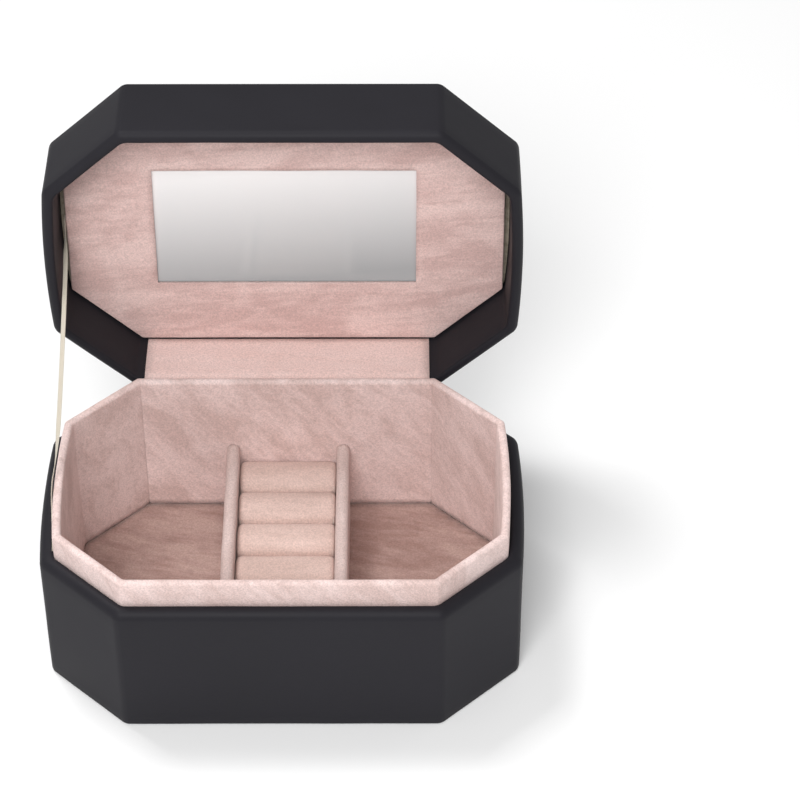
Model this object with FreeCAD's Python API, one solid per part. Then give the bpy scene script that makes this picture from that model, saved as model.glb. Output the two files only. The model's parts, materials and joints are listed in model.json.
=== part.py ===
"""Eight-sided jewelry case with a hinged lid, built as separate pieces.

Millimetres. X right, Y to the back, Z up, origin at the centre of the underside.
Lid pieces are built shut and then swung open about the hinge line, to the rest pose.
"""
import FreeCAD, Part
import math
import os

os.makedirs("parts", exist_ok=True)
V = FreeCAD.Vector

# Overall form
width = 180.0
depth = 120.4
corner_run_x = 29.8
corner_run_y = 27.3
base_height = 62.25
lid_height = 35.0
side_bow = 1.4
corner_radius = 4.4
open_angle = 94.4

# Leather wraps
leather_fold = 0.6
base_rim_round = 3.6
base_rim_inner_round = 1.2
lid_rim_round = 2.7
lid_rim_inner_round = 1.1
parting_gap = 0.4
base_turn_in = 14.0
base_turn_under = 12.0
base_turn_in_inset = 5.3
lid_lining_inset = 4.4
rim_leather = 1.1

# Boards of the base
base_board_inset = 1.6
base_board_inner = 4.4
base_board_ease = 0.7
bottom_sheet = 0.5
bottom_sheet_inset = 2.5
bottom_sheet_corner = 2.0
floor_board = 3.2
floor_card = 0.7
floor_suede = 0.6

# Liner with its lip
lip_height = 10.8
liner_outer_inset = 5.4
liner_inner_inset = 8.6
liner_suede = 0.6
liner_lip_round = 1.3
liner_corner_radius = 1.6
liner_board_ease = 0.5
liner_floor_gap = 0.1

# Dividers
divider_x = 21.8
divider_thick = 5.0
divider_top = 39.2
divider_suede = 0.8
divider_end_gap = 0.1

# Ring rolls
roll_count = 6
roll_gap = 0.2
roll_top = 33.4
roll_dome_radius = 14.0
roll_shoulder_radius = 4.0
roll_waist = 0.4
roll_suede = 0.8
roll_end_gap = 0.15
roll_end_round = 3.0

# Boards and top of the lid
lid_board_inset = 1.6
lid_board_inner = 3.6
lid_board_ease = 0.5
lid_top_board = 4.0
lid_fold = 0.8
lid_fold_reach = 8.5
lid_shoulder_round = 1.0
top_panel = 1.0
top_panel_inset = 0.75
top_panel_round = 0.45
top_crown_start = 6.4
top_crown_mid = 10.5
top_crown_end = 17.0
top_crown_mid_rise = 0.55
top_crown_rise = 0.8
top_foam_inset = 8.7
top_foam_draft = 1.2
top_foam = 1.6

# Panel and mirror in the lid
panel_face_depth = 10.21
panel_inset = 5.1
panel_suede = 0.66
panel_edge_round = 0.5
window_width = 101.5
window_height = 54.0
window_y = 0.5
mirror_margin = 0.7
mirror_thick = 3.0
mirror_gap = 0.1

# Hinge strips
hinge_end_margin = 2.5
hinge_pocket_gap = 0.3
hinge_leaf = 14.0
hinge_leaf_thick = 0.7
hinge_leaf_sunk = 0.2
hinge_bead_radius = 0.9
hinge_pocket_floor_gap = 0.05
suede_strip = 0.6
suede_strip_tail = 13.5
suede_strip_reach = 24.2
suede_strip_pocket = 0.7
suede_strip_pocket_gap = 0.05
suede_strip_lining_gap = 0.02
suede_strip_rise = 0.3
suede_strip_bow = 1.2

# Ribbon stay
ribbon_width = 2.2
ribbon_thick = 0.4
ribbon_lid_y = -2.6
ribbon_lid_tuck = 2.4
ribbon_base_y = -25.0
ribbon_base_tuck = 4.4
ribbon_liner_gap = 0.2
ribbon_pocket = 0.75
ribbon_slot_gap = 0.8
ribbon_twist = 65.0
ribbon_turn_lid = (2.0, 16.0)
ribbon_turn_base = (50.0, 26.0)
ribbon_off_lining = 1.25
ribbon_off_lip = 0.6
ribbon_lip_stop = 23.5
ribbon_middle = ((45.0, 1.2), (80.0, 0.8), (97.0, 0.15))

# How far a cutting shape runs past what it cuts, and how near counts as touching
overshoot = 1.0
touching = 0.01

half_w = width / 2
half_d = depth / 2
rim_z = base_height - parting_gap / 2
lid_z = base_height + parting_gap / 2
roof_z = base_height + lid_height
fold_top = bottom_sheet + leather_fold
floor_high = fold_top + floor_board
card_top = floor_high + floor_card
floor_z = card_top + floor_suede
lip_z = base_height + lip_height
face_z = roof_z - panel_face_depth
shoulder_z = roof_z - top_panel
board_top = shoulder_z - lid_fold
board_low = board_top - lid_top_board
hinge = V(0, half_d, base_height)


def octagon(inset):
    """Corner points of the plan, moved in by inset, counter-clockwise from the front left."""
    run = math.hypot(corner_run_x, corner_run_y)
    level = corner_run_y * half_w + corner_run_x * (half_d - corner_run_y) - inset * run
    a = half_w - inset
    b = half_d - inset
    xc = (level - corner_run_x * b) / corner_run_y
    yc = (level - corner_run_y * a) / corner_run_x
    return [(-xc, -b), (xc, -b), (a, -yc), (a, yc), (xc, b), (-xc, b), (-a, yc), (-a, -yc)]


def bow_at(inset, y):
    """How far the left or the right side, moved in by inset, stands out at y."""
    reach = octagon(inset)[3][1]
    radius = (reach**2 + side_bow**2) / (2 * side_bow)
    return math.sqrt(radius**2 - y**2) - radius + side_bow


def side(n, inset, z, bow):
    """One side of the plan outline at a height; the left and the right side bow outwards."""
    corners = octagon(inset)
    a = V(*corners[n], z)
    b = V(*corners[(n + 1) % 8], z)
    if bow and n in (2, 6):
        middle = (a + b) * 0.5 + V(math.copysign(bow, a.x), 0, 0)
        return Part.Arc(a, middle, b).toShape()
    return Part.makeLine(a, b)


def outline(inset, z, bow):
    """Closed wire of the plan outline at a height."""
    return Part.Wire([side(n, inset, z, bow) for n in range(8)])


def taper(inset_low, low, inset_high, high, bow=side_bow):
    """Solid between two plan outlines at two heights."""
    return Part.makeLoft([outline(inset_low, low, bow), outline(inset_high, high, bow)], True, True)


def prism(inset, low, high, bow=side_bow):
    """Solid of the plan outline between two heights."""
    return Part.Face(outline(inset, low, bow)).extrude(V(0, 0, high - low))


def box(x0, x1, y0, y1, z0, z1):
    """Box between two corners."""
    return Part.makeBox(x1 - x0, y1 - y0, z1 - z0, V(x0, y0, z0))


def upright(shape):
    """Edges that run mostly along Z."""
    found = []
    for e in shape.Edges:
        d = e.Vertexes[-1].Point - e.Vertexes[0].Point
        if abs(d.z) > 0.9 * d.Length and d.Length > 0.2:
            found.append(e)
    return found


def level_edges(shape, z):
    """Edges that lie in the plane at height z."""
    return [e for e in shape.Edges if all(abs(v.Z - z) < 1e-4 for v in e.Vertexes)]


def rounded(shape, radius):
    """Shape with its upright edges rounded."""
    return shape.makeFillet(radius, upright(shape))


def hole_rim(shape, hole, z):
    """Edges of a rim at height z that lie on the wall of the hole in it."""
    found = []
    for e in level_edges(shape, z):
        p = e.valueAt((e.FirstParameter + e.LastParameter) / 2)
        if hole.distToShape(Part.Vertex(p))[0] < touching:
            found.append(e)
    return found


def wall_board(n, outer, inner, low, high, eased, edge_z):
    """One board of a ring of eight, mitred at both ends, with its free edge eased."""
    far = side(n, outer, low, side_bow)
    near = side(n, inner, low, side_bow)
    start, end = far.Vertexes[0].Point, far.Vertexes[-1].Point
    ends = [Part.makeLine(end, near.Vertexes[-1].Point), Part.makeLine(near.Vertexes[0].Point, start)]
    face = Part.Face(Part.Wire(Part.__sortEdges__([far, near] + ends)))
    board = face.extrude(V(0, 0, high - low))
    along = (end - start).normalize()
    edges = []
    for e in level_edges(board, edge_z):
        d = (e.Vertexes[-1].Point - e.Vertexes[0].Point).normalize()
        if abs(d.dot(along)) > 0.99:
            edges.append(e)
    return board.makeChamfer(eased, edges)


def ring_of_boards(outer, inner, low, high, eased, edge_z):
    """Eight mitred boards: front, right, rear, left and the four corners between."""
    return [wall_board(n, outer, inner, low, high, eased, edge_z) for n in range(8)]


def cut(shape, tools):
    """Shape with one tool or a list of tools taken away, as one solid."""
    out = shape.cut(tools)
    if len(out.Solids) != 1:
        raise ValueError("expected one solid, found %d" % len(out.Solids))
    return out.Solids[0]


def strip_profile(points, thick):
    """Closed YZ wire of a strip of even thickness along a polyline."""
    left, right = [], []
    for n, (y, z) in enumerate(points):
        before = points[max(n - 1, 0)]
        after = points[min(n + 1, len(points) - 1)]
        d1 = (y - before[0], z - before[1])
        d2 = (after[0] - y, after[1] - z)
        l1 = math.hypot(*d1) or 1.0
        l2 = math.hypot(*d2) or 1.0
        ty = d1[0] / l1 + d2[0] / l2
        tz = d1[1] / l1 + d2[1] / l2
        lt = math.hypot(ty, tz)
        ny, nz = -tz / lt, ty / lt
        half = thick / 2
        if 0 < n < len(points) - 1:
            c = (d1[0] * d2[0] + d1[1] * d2[1]) / (l1 * l2)
            half = half / math.sqrt((1 + c) / 2)
        left.append(V(0, y + ny * half, z + nz * half))
        right.append(V(0, y - ny * half, z - nz * half))
    ring = left + right[::-1]
    return Part.makePolygon(ring + ring[:1])


def swing(shape):
    """Copy of a lid shape, swung from shut to the rest pose."""
    out = shape.copy()
    out.rotate(hinge, V(1, 0, 0), -open_angle)
    return out


def swing_point(y, z):
    """Rest position of a lid point given where it is when the lid is shut."""
    p = FreeCAD.Rotation(V(1, 0, 0), -open_angle).multVec(V(0, y, z) - hinge) + hinge
    return p.y, p.z


def smooth(t):
    """Even step from 0 to 1."""
    t = min(1.0, max(0.0, t))
    return t * t * (3 - 2 * t)


parts = {}
hinge_half_length = octagon(lid_lining_inset)[4][0] - hinge_end_margin
pocket_half_length = hinge_half_length + hinge_pocket_gap

# Line of the ribbon stay, from where it leaves the lid's panel to where it enters the base
ribbon_lid_x = -half_w + (lid_lining_inset + panel_inset) / 2
ribbon_lip_x = -half_w + liner_outer_inset - bow_at(liner_outer_inset, ribbon_base_y)
ribbon_base_x = ribbon_lip_x - ribbon_thick / 2 - ribbon_liner_gap
ribbon_top = V(ribbon_lid_x, *swing_point(ribbon_lid_y, face_z))
ribbon_low = V(ribbon_base_x, ribbon_base_y, rim_z)
ribbon_free = (ribbon_low - ribbon_top).Length
ribbon_along = (ribbon_low - ribbon_top).normalize()
ribbon_across = V(1, 0, 0)
ribbon_across = (ribbon_across - ribbon_along * ribbon_across.dot(ribbon_along)).normalize()
ribbon_beside = ribbon_along.cross(ribbon_across)

# Boards of the base
base_boards = ring_of_boards(
    base_board_inset,
    base_board_inner,
    fold_top,
    rim_z - rim_leather,
    base_board_ease,
    rim_z - rim_leather,
)
parts["base_front_board"] = base_boards[0]
parts["base_right_board"] = base_boards[2]
parts["base_rear_board"] = base_boards[4]
parts["base_left_board"] = base_boards[6]
parts["base_corner_boards"] = Part.makeCompound([base_boards[n] for n in (1, 3, 5, 7)])
parts["base_floor_board"] = prism(base_board_inner, fold_top, floor_high)
parts["base_infill_card"] = prism(base_turn_under, bottom_sheet, fold_top)
bottom = prism(bottom_sheet_inset, 0, bottom_sheet)
parts["base_bottom_leather"] = rounded(bottom, bottom_sheet_corner)

# Leather round the base, turned in over the rim and under the floor
shell = rounded(prism(0, bottom_sheet, rim_z), corner_radius)
shell = shell.makeFillet(base_rim_round, level_edges(shell, rim_z))
shell = shell.makeFillet(leather_fold, level_edges(shell, bottom_sheet))
hole = prism(base_turn_in_inset, -overshoot, rim_z + overshoot)
tube = shell.cut(hole)
tube = tube.makeFillet(base_rim_inner_round, hole_rim(tube, hole, rim_z))
fold = prism(base_board_inner, bottom_sheet, fold_top)
fold = fold.cut(prism(base_turn_under, bottom_sheet - overshoot, fold_top + overshoot))
behind_liner = prism(base_board_inner, fold_top, rim_z - base_turn_in)
leather = tube.fuse(fold).cut(behind_liner)
leather = leather.cut(base_boards)
strip_pocket = box(
    -pocket_half_length,
    pocket_half_length,
    half_d - base_turn_in_inset - overshoot,
    half_d - base_turn_in_inset + suede_strip_pocket,
    rim_z - base_turn_in - overshoot,
    rim_z + overshoot,
)
leaf_floor_y = half_d - hinge_leaf_sunk - hinge_leaf_thick - hinge_pocket_floor_gap
leaf_pocket = box(
    -pocket_half_length,
    pocket_half_length,
    leaf_floor_y,
    half_d + overshoot,
    base_height - hinge_leaf - hinge_pocket_gap,
    rim_z + overshoot,
)
slot_front = abs(ribbon_along.z) * ribbon_width / 2 + ribbon_slot_gap
slot_back = ribbon_width / 2 / abs(ribbon_along.z) + ribbon_slot_gap
turn_in_x = -half_w + base_turn_in_inset - bow_at(base_turn_in_inset, ribbon_base_y)
ribbon_slot = box(
    turn_in_x - ribbon_pocket,
    turn_in_x + overshoot,
    ribbon_base_y + ribbon_along.y * ribbon_base_tuck - slot_front,
    ribbon_base_y + slot_back,
    rim_z - base_turn_in - overshoot,
    rim_z + overshoot,
)
parts["base_wall_leather"] = cut(leather, [strip_pocket, leaf_pocket, ribbon_slot])

# Liner boards and the suede over them
liner_boards = ring_of_boards(
    liner_outer_inset + liner_suede,
    liner_inner_inset - liner_suede,
    floor_high,
    lip_z - liner_suede,
    liner_board_ease,
    lip_z - liner_suede,
)
parts["liner_front_board"] = liner_boards[0]
parts["liner_right_board"] = liner_boards[2]
parts["liner_rear_board"] = liner_boards[4]
parts["liner_left_board"] = liner_boards[6]
parts["liner_corner_boards"] = Part.makeCompound([liner_boards[n] for n in (1, 3, 5, 7)])
liner = rounded(prism(liner_outer_inset, floor_high, lip_z), liner_corner_radius)
liner = liner.makeFillet(liner_lip_round, level_edges(liner, lip_z))
well = prism(liner_inner_inset, floor_high - overshoot, lip_z + overshoot)
well = rounded(well, liner_corner_radius)
liner = liner.cut(well)
liner = liner.makeFillet(liner_lip_round, hole_rim(liner, well, lip_z))
parts["liner_suede"] = cut(liner, liner_boards)

# Floor of the compartments
floor_inset = liner_inner_inset + liner_floor_gap
parts["floor_card"] = rounded(prism(floor_inset, floor_high, card_top), liner_corner_radius)
parts["floor_suede"] = rounded(prism(floor_inset, card_top, floor_z), liner_corner_radius)

# Dividers
run_y = half_d - liner_inner_inset - divider_end_gap


def upright_slab(x, thick, top, reach):
    """Slab standing on the floor with a full round along its top."""
    half = thick / 2
    low = [V(x - half, -reach, floor_z), V(x + half, -reach, floor_z)]
    high = [V(x + half, -reach, top - half), V(x - half, -reach, top - half)]
    crown = V(x, -reach, top)
    edges = [
        Part.makeLine(low[0], low[1]),
        Part.makeLine(low[1], high[0]),
        Part.Arc(high[0], crown, high[1]).toShape(),
        Part.makeLine(high[1], low[0]),
    ]
    return Part.Face(Part.Wire(edges)).extrude(V(0, 2 * reach, 0))


for name, x in (("left", -divider_x), ("right", divider_x)):
    core = upright_slab(x, divider_thick - 2 * divider_suede, divider_top - divider_suede, run_y)
    skin = upright_slab(x, divider_thick, divider_top, run_y)
    parts["divider_%s_board" % name] = core
    parts["divider_%s_suede" % name] = cut(skin, core)

# Ring rolls between the dividers
roll_pitch = 2 * (half_d - liner_inner_inset) / roll_count
roll_half = divider_x - divider_thick / 2 - roll_end_gap


def roll_solid(y, shrink, low):
    """Crowned roll: domed across, rounded at both ends and drawn in towards the floor."""
    half = (roll_pitch - roll_gap) / 2
    cy = half - roll_shoulder_radius
    dome = roll_dome_radius
    rise = math.sqrt((dome - roll_shoulder_radius) ** 2 - cy**2)
    middle = roll_top - dome
    shoulder = middle + rise
    tilt = math.atan2(rise, cy)
    r = roll_shoulder_radius - shrink
    dome = dome - shrink
    half = half - shrink
    reach = roll_half - shrink

    def at(dy, z):
        return V(-reach - overshoot, y + dy, z)

    def bend(angle, hand):
        return at(hand * (cy + r * math.cos(angle)), shoulder + r * math.sin(angle))

    edges = [
        Part.makeLine(at(-half + roll_waist, low), at(half - roll_waist, low)),
        Part.makeLine(at(half - roll_waist, low), at(half, shoulder)),
        Part.Arc(at(half, shoulder), bend(tilt / 2, 1), bend(tilt, 1)).toShape(),
        Part.Arc(bend(tilt, 1), at(0, middle + dome), bend(tilt, -1)).toShape(),
        Part.Arc(bend(tilt, -1), bend(tilt / 2, -1), at(-half, shoulder)).toShape(),
        Part.makeLine(at(-half, shoulder), at(-half + roll_waist, low)),
    ]
    long_way = Part.Face(Part.Wire(edges)).extrude(V(2 * (reach + overshoot), 0, 0))

    er = roll_end_round - shrink
    top = middle + dome

    def end(x, z):
        return V(x, y - half - overshoot, z)

    cx = reach - er
    q = er * math.sqrt(0.5)
    edges = [
        Part.makeLine(end(-reach + roll_waist, low), end(reach - roll_waist, low)),
        Part.makeLine(end(reach - roll_waist, low), end(reach, top - er)),
        Part.Arc(end(reach, top - er), end(cx + q, top - er + q), end(cx, top)).toShape(),
        Part.makeLine(end(cx, top), end(-cx, top)),
        Part.Arc(end(-cx, top), end(-cx - q, top - er + q), end(-reach, top - er)).toShape(),
        Part.makeLine(end(-reach, top - er), end(-reach + roll_waist, low)),
    ]
    cross_way = Part.Face(Part.Wire(edges)).extrude(V(0, 2 * (half + overshoot), 0))
    return long_way.common(cross_way).Solids[0]


cores = []
for n in range(roll_count):
    y = half_d - liner_inner_inset - roll_pitch * (n + 0.5)
    core = roll_solid(y, roll_suede, floor_z)
    skin = roll_solid(y, 0.0, floor_z)
    cores.append(core)
    parts["ring_roll_%d" % (n + 1)] = cut(skin, core)
parts["ring_foam_cores"] = Part.makeCompound(cores)

# Lid boards, shut
lid_boards = ring_of_boards(
    lid_board_inset,
    lid_board_inner,
    lid_z + rim_leather,
    board_low,
    lid_board_ease,
    lid_z + rim_leather,
)
top_board = prism(lid_board_inset, board_low, board_top)
lid = {
    "lid_front_board": lid_boards[0],
    "lid_right_board": lid_boards[2],
    "lid_rear_board": lid_boards[4],
    "lid_left_board": lid_boards[6],
    "lid_corner_boards": Part.makeCompound([lid_boards[n] for n in (1, 3, 5, 7)]),
    "lid_top_board": top_board,
}

# Leather round the lid, turned in over the rim as far as the top board
cap = rounded(prism(0, lid_z, shoulder_z), corner_radius)
cap = cap.makeFillet(lid_rim_round, level_edges(cap, lid_z))
cap = cap.makeFillet(lid_shoulder_round, level_edges(cap, shoulder_z))
hollow = prism(lid_lining_inset, lid_z - overshoot, board_low)
cap = cap.cut(hollow)
cap = cap.makeFillet(lid_rim_inner_round, hole_rim(cap, hollow, lid_z))
cap = cap.cut(prism(lid_fold_reach, board_top - overshoot, shoulder_z + overshoot))
cap = cap.cut(lid_boards + [top_board])
lid_leaf_pocket = box(
    -pocket_half_length,
    pocket_half_length,
    leaf_floor_y,
    half_d + overshoot,
    lid_z - overshoot,
    base_height + hinge_leaf + hinge_pocket_gap,
)
lid["lid_wall_leather"] = cut(cap, lid_leaf_pocket)

# Padded top panel of the lid
foam_top = board_top + top_foam
foam = taper(top_foam_inset, board_top, top_foam_inset + top_foam_draft, foam_top)
sheet = rounded(prism(top_panel_inset, shoulder_z, roof_z), corner_radius - top_panel_inset)
sheet = sheet.makeFillet(top_panel_round, level_edges(sheet, roof_z))
crown_mid_z = roof_z + top_crown_mid_rise
crown_z = roof_z + top_crown_rise
slope = taper(top_crown_start, roof_z, top_crown_mid, crown_mid_z)
dome = taper(top_crown_mid, crown_mid_z, top_crown_end, crown_z)
lid["lid_top_foam"] = foam
lid["lid_top_leather"] = cut(sheet.fuse([slope, dome]).removeSplitter(), foam)

# Suede panel with its window, and the mirror behind it
panel_low = face_z + panel_suede
panel_board = prism(panel_inset + panel_suede, panel_low, board_low, bow=0)
wrap = rounded(prism(panel_inset, face_z, board_low, bow=0), liner_corner_radius)
wrap = wrap.makeFillet(panel_edge_round, level_edges(wrap, face_z))


def window(margin, low, high):
    """Block the size of the window plus a margin all round."""
    w = window_width / 2 + margin
    h = window_height / 2 + margin
    return box(-w, w, window_y - h, window_y + h, low, high)


wrap = wrap.cut([panel_board, window(0, face_z - overshoot, board_low + overshoot)])
rebate = window(mirror_margin + mirror_gap, panel_low, board_low + overshoot)
lid["mirror_panel_suede"] = cut(wrap, rebate)
lid["mirror_panel_board"] = cut(panel_board, rebate)
lid["mirror"] = window(mirror_margin, board_low - mirror_thick, board_low)

for name, shape in lid.items():
    parts[name] = swing(shape)

# Leather strip across the back, with a round bead on the hinge line
leaf_y = half_d - hinge_leaf_sunk
leaf_box = (-hinge_half_length, hinge_half_length, leaf_y - hinge_leaf_thick, leaf_y)
leaf = box(*leaf_box, base_height - hinge_leaf, base_height)
lid_leaf = swing(box(*leaf_box, base_height, base_height + hinge_leaf))
bead_start = V(-hinge_half_length, half_d, base_height)
bead = Part.makeCylinder(hinge_bead_radius, 2 * hinge_half_length, bead_start, V(1, 0, 0))
hinge_leather = leaf.fuse([lid_leaf, bead])
parts["hinge_leather"] = hinge_leather.Solids[0]
parts["base_wall_leather"] = cut(parts["base_wall_leather"], hinge_leather)
parts["lid_wall_leather"] = cut(parts["lid_wall_leather"], hinge_leather)

# Suede strip across the inside of the hinge
strip_y = half_d - base_turn_in_inset + suede_strip_pocket_gap + suede_strip / 2
start = (strip_y, rim_z - suede_strip_tail)
bend = (strip_y, base_height + suede_strip_rise)
lining_y = half_d - lid_lining_inset
lining_gap = suede_strip / 2 + suede_strip_lining_gap
turn_r = lid_rim_inner_round + lining_gap
centre = swing_point(lining_y + lid_rim_inner_round, lid_z + lid_rim_inner_round)
away = math.hypot(centre[0] - bend[0], centre[1] - bend[1])
aim = math.atan2(centre[1] - bend[1], centre[0] - bend[0]) + math.asin(turn_r / away)
lid_line = -math.radians(open_angle - 90)
lean = math.pi / 2 - aim
bow_start = bend[1] - suede_strip_bow * math.tan(lean / 2)
turn_steps = 6
strip = [start]
for n in range(turn_steps + 1):
    t = lean * n / turn_steps
    y = bend[0] + suede_strip_bow * (1 - math.cos(t))
    strip.append((y, bow_start + suede_strip_bow * math.sin(t)))
for n in range(turn_steps + 1):
    t = aim + (lid_line - aim) * n / turn_steps
    strip.append((centre[0] - turn_r * math.sin(t), centre[1] + turn_r * math.cos(t)))
strip.append(swing_point(lining_y - lining_gap, lid_z + suede_strip_reach))
face = Part.Face(strip_profile(strip, suede_strip))
face.translate(V(-hinge_half_length, 0, 0))
parts["hinge_suede"] = face.extrude(V(2 * hinge_half_length, 0, 0))

# Ribbon stay on the left: its route, as distance along and place across, and its twist
lining_x = -half_w + lid_lining_inset
lip_x = -half_w + liner_outer_inset - side_bow
turn_start, turn_full = ribbon_turn_lid
untwist_start, untwist_end = [ribbon_free - s for s in ribbon_turn_base]
ribbon_route = [
    (-ribbon_lid_tuck, ribbon_lid_x),
    (0.0, ribbon_lid_x),
    (turn_full, lining_x + ribbon_off_lining),
]
ribbon_route += [(s, lining_x + off) for s, off in ribbon_middle]
ribbon_route += [
    (ribbon_free - ribbon_lip_stop, lip_x - ribbon_off_lip),
    (ribbon_free, ribbon_base_x),
    (ribbon_free + ribbon_base_tuck, ribbon_base_x),
]


def ribbon_point(s):
    """Middle of the ribbon at distance s from where it leaves the lid's panel."""
    on_line = ribbon_top + ribbon_along * s
    for (s0, x0), (s1, x1) in zip(ribbon_route, ribbon_route[1:]):
        if s0 <= s <= s1:
            return V(x0 + (x1 - x0) * (s - s0) / (s1 - s0), on_line.y, on_line.z)
    return V(ribbon_base_x, on_line.y, on_line.z)


def ribbon_section(s):
    """Rectangle across the ribbon at distance s, turned by the twist there."""
    turn = math.radians(ribbon_twist)
    turn *= smooth((s - turn_start) / (turn_full - turn_start))
    turn *= smooth((untwist_end - s) / (untwist_end - untwist_start))
    w = ribbon_beside * math.cos(turn) + ribbon_across * math.sin(turn)
    t = ribbon_across * math.cos(turn) - ribbon_beside * math.sin(turn)
    w = w * (ribbon_width / 2)
    t = t * (ribbon_thick / 2)
    c = ribbon_point(s)
    ring = [c - w - t, c + w - t, c + w + t, c - w + t]
    return Part.makePolygon(ring + ring[:1])


stops = {s for s, x in ribbon_route}
for n in range(turn_steps + 1):
    share = n / turn_steps
    stops.add(round(turn_start + (turn_full - turn_start) * share, 6))
    stops.add(round(untwist_start + (untwist_end - untwist_start) * share, 6))
stops = sorted(stops)
stops = [s for s, after in zip(stops, stops[1:]) if after - s > touching] + stops[-1:]
parts["stay_ribbon"] = Part.makeLoft([ribbon_section(s) for s in stops], True, True)

for name, shape in parts.items():
    shape.exportStep("parts/%s.step" % name)
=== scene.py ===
"""Looks of an eight-sided jewelry case: leather wraps, suede linings, ribbon stay, mirror and studio.

Sizes are in millimetres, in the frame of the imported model: X right, Y to the back, Z up, origin at
the centre of the underside. Lid pieces are modelled shut and then swung open to the rest pose.
"""
import json
import logging
import math
from collections.abc import Callable, Iterable, Sequence
from dataclasses import dataclass, field, replace
from enum import Enum

import bmesh
import bpy
from bmesh.types import BMEdge, BMesh, BMVert
from mathutils import Matrix, Vector, noise


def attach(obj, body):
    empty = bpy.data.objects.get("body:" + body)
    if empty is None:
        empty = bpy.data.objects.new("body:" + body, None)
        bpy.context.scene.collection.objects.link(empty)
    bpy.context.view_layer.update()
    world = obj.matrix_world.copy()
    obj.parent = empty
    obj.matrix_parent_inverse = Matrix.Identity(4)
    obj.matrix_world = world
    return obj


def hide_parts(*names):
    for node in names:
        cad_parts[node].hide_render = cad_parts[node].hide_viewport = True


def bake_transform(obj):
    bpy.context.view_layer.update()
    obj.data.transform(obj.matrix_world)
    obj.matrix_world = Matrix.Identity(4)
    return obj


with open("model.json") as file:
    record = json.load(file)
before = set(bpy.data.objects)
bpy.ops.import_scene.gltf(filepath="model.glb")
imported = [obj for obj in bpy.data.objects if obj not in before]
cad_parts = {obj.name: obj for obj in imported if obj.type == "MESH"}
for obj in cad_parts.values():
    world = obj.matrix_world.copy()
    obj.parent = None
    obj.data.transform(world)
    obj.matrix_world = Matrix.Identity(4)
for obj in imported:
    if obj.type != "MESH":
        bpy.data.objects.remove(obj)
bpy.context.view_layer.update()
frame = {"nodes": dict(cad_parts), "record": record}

MM = 0.001
log = logging.getLogger("jewelry_case")

Colour = tuple[float, float, float]
Point = tuple[float, float]


class Body(Enum):
    """Moving bodies of the case."""

    BASE = "base"
    LID = "lid"


class Slot(Enum):
    """Material slots of the record."""

    LEATHER = "leather"
    SUEDE = "suede"
    FLOOR_SUEDE = "floor_suede"
    ROLL_SUEDE = "roll_suede"
    RIBBON = "ribbon"
    MIRROR = "mirror_glass"
    BOARD = "board"
    CARD = "card"
    FOAM = "foam"


class Axis(Enum):
    """Directions to slice a mesh along."""

    X = 0
    Y = 1
    Z = 2


# Plan of the case and its lid


@dataclass(frozen=True)
class Plan:
    """Eight-sided plan of the case, with its corners cut off and its short sides bowed out."""

    width: float = 180.0
    depth: float = 120.4
    corner_run_x: float = 29.8
    corner_run_y: float = 27.3
    bow: float = 1.4

    def _level(self, inset: float) -> float:
        """Offset of the cut corner's line.

        Args:
            inset: Distance inwards from the widest outline.

        Returns:
            Its distance from the middle, times the length of the cut.
        """
        run = math.hypot(self.corner_run_x, self.corner_run_y)
        straight = self.corner_run_y * self.width / 2
        return straight + self.corner_run_x * (self.depth / 2 - self.corner_run_y) - inset * run

    def outline(self, inset: float) -> list[Point]:
        """Corner points of the plan moved in by an inset.

        Args:
            inset: Distance inwards from the widest outline.

        Returns:
            Eight points, counter-clockwise from the front left.
        """
        a = self.width / 2 - inset
        b = self.depth / 2 - inset
        level = self._level(inset)
        x = (level - self.corner_run_x * b) / self.corner_run_y
        y = (level - self.corner_run_y * a) / self.corner_run_x
        return [(-x, -b), (x, -b), (a, -y), (a, y), (x, b), (-x, b), (-a, y), (-a, -y)]

    def inset_at(self, x: float, y: float) -> float:
        """Distance of a point inwards from the widest outline.

        Args:
            x: Place across the case.
            y: Place along its depth.

        Returns:
            The smallest distance to one of the eight sides.
        """
        run = math.hypot(self.corner_run_x, self.corner_run_y)
        slant = (self._level(0) - self.corner_run_y * abs(x) - self.corner_run_x * abs(y)) / run
        short = self.width / 2 + self.bow * self.swell(0.0, y) - abs(x)
        return min(short, self.depth / 2 - abs(y), slant)

    def swell(self, inset: float, y: float) -> float:
        """Share of the bow that a short side has at a place along it.

        Args:
            inset: Distance of the side inwards from the widest outline.
            y: Place along the side.

        Returns:
            One in the middle, nothing at the corners and beyond.
        """
        reach = self.outline(inset)[3][1]
        return max(0.0, 1.0 - (y / reach) ** 2)

    def along(self, inset: float, side: int, share: float) -> Point:
        """Point on one side of the plan.

        Args:
            inset: Distance of the side inwards from the widest outline.
            side: Which side, counter-clockwise from the front.
            share: How far along it, from 0 to 1.

        Returns:
            The point, on the bow where the side has one.
        """
        corners = self.outline(inset)
        x0, y0 = corners[side]
        x1, y1 = corners[(side + 1) % len(corners)]
        x = x0 + (x1 - x0) * share
        y = y0 + (y1 - y0) * share
        if x0 == x1:
            x += math.copysign(self.bow * self.swell(inset, y), x)
        return x, y


@dataclass(frozen=True)
class LidSwing:
    """Turn of the lid about the hinge line, from shut to the rest pose."""

    hinge_y: float = 60.2
    hinge_z: float = 62.25
    open_angle: float = 94.4

    def matrix(self) -> Matrix:
        """Turn from the shut place to the rest place.

        Returns:
            The transform, in millimetres.
        """
        hinge = Vector((0, self.hinge_y, self.hinge_z))
        turn = Matrix.Rotation(-math.radians(self.open_angle), 4, "X")
        return Matrix.Translation(hinge) @ turn @ Matrix.Translation(-hinge)

    def point(self, y: float, z: float) -> Point:
        """Rest place of a lid point given where it is when shut."""
        moved = self.matrix() @ Vector((0, y, z))
        return moved.y, moved.z


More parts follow.
